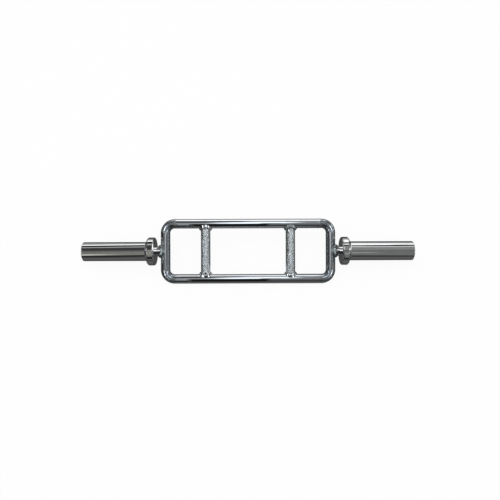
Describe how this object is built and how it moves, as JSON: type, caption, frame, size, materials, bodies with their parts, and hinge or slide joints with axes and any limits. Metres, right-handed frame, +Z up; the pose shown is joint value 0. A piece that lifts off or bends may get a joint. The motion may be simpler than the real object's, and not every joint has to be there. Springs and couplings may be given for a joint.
{
  "type": "triceps bar",
  "caption": "Chromed weight-training bar: a closed rounded frame with upright knurled grips, and a free-turning sleeve with a collar at each end for weight plates.",
  "frame": {"origin": "on the floor, under the middle of the sleeves' common axis, with the bar lying on both collars and its lower rail", "axes": "+X along the bar towards the right sleeve, +Z up, +Y towards the raised upper rail"},
  "size_m": [0.864, 0.1619, 0.0742],
  "materials": {
    "bright_chrome": "polished",
    "knurled_chrome": "diamond knurl, plated",
    "plated_weld": "rippled weld, plated",
    "turned_steel": "turned",
    "washer_steel": "ground",
    "spring_steel": "oiled black",
    "bronze": "sintered"
  },
  "bodies": {
    "frame": {"frame_bow": "bright_chrome", "upper_rail": "bright_chrome", "left_rail_weld": "plated_weld", "left_grip": "knurled_chrome", "left_grip_upper_weld": "plated_weld", "left_grip_lower_weld": "plated_weld", "left_axle": "turned_steel", "left_axle_weld": "plated_weld", "left_axle_ring": "spring_steel", "left_inner_thrust_washer": "washer_steel", "left_outer_thrust_washer": "washer_steel", "right_rail_weld": "plated_weld", "right_grip": "knurled_chrome", "right_grip_upper_weld": "plated_weld", "right_grip_lower_weld": "plated_weld", "right_axle": "turned_steel", "right_axle_weld": "plated_weld", "right_axle_ring": "spring_steel", "right_inner_thrust_washer": "washer_steel", "right_outer_thrust_washer": "washer_steel"},
    "left_sleeve": {"left_sleeve": "bright_chrome", "left_collar": "bright_chrome", "left_collar_weld": "plated_weld", "left_inner_bush": "bronze", "left_outer_bush": "bronze", "left_end_cap": "bright_chrome", "left_end_ring": "spring_steel"},
    "right_sleeve": {"right_sleeve": "bright_chrome", "right_collar": "bright_chrome", "right_collar_weld": "plated_weld", "right_inner_bush": "bronze", "right_outer_bush": "bronze", "right_end_cap": "bright_chrome", "right_end_ring": "spring_steel"}
  },
  "joints": [
    {"name": "left_sleeve_spin", "type": "hinge", "parent": "frame", "child": "left_sleeve", "pos_m": [-0.34, 0, 0.03689], "axis": [1, 0, 0], "continuous": true},
    {"name": "right_sleeve_spin", "type": "hinge", "parent": "frame", "child": "right_sleeve", "pos_m": [0.34, 0, 0.03689], "axis": [1, 0, 0], "continuous": true}
  ]
}
